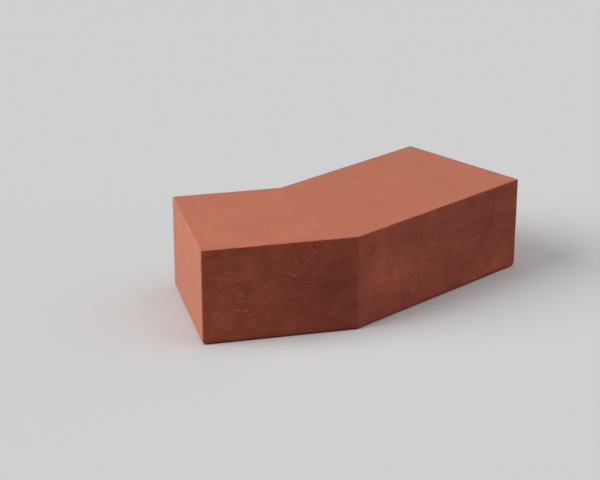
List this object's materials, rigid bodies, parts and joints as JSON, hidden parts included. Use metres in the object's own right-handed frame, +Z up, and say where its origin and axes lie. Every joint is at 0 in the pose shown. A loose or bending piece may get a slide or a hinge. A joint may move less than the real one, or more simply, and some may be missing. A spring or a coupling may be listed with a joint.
{
  "type": "clay angle brick",
  "caption": "Solid clay brick with a shallow bend in plan: a short and a long arm meet at a mitred quoin, to carry a facing wall round an outside angle.",
  "frame": {"origin": "on the lower bed, where the centre lines of the two arms cross", "axes": "+X runs out along the long arm's centre line, +Z is up through the course, and the faced outer sides look towards -Y; the short arm turns back towards +Y"},
  "size_m": [0.2471, 0.1396, 0.065],
  "materials": {
    "fired_clay": "matte"
  },
  "bodies": {
    "root": {"brick": "fired_clay"}
  },
  "joints": []
}
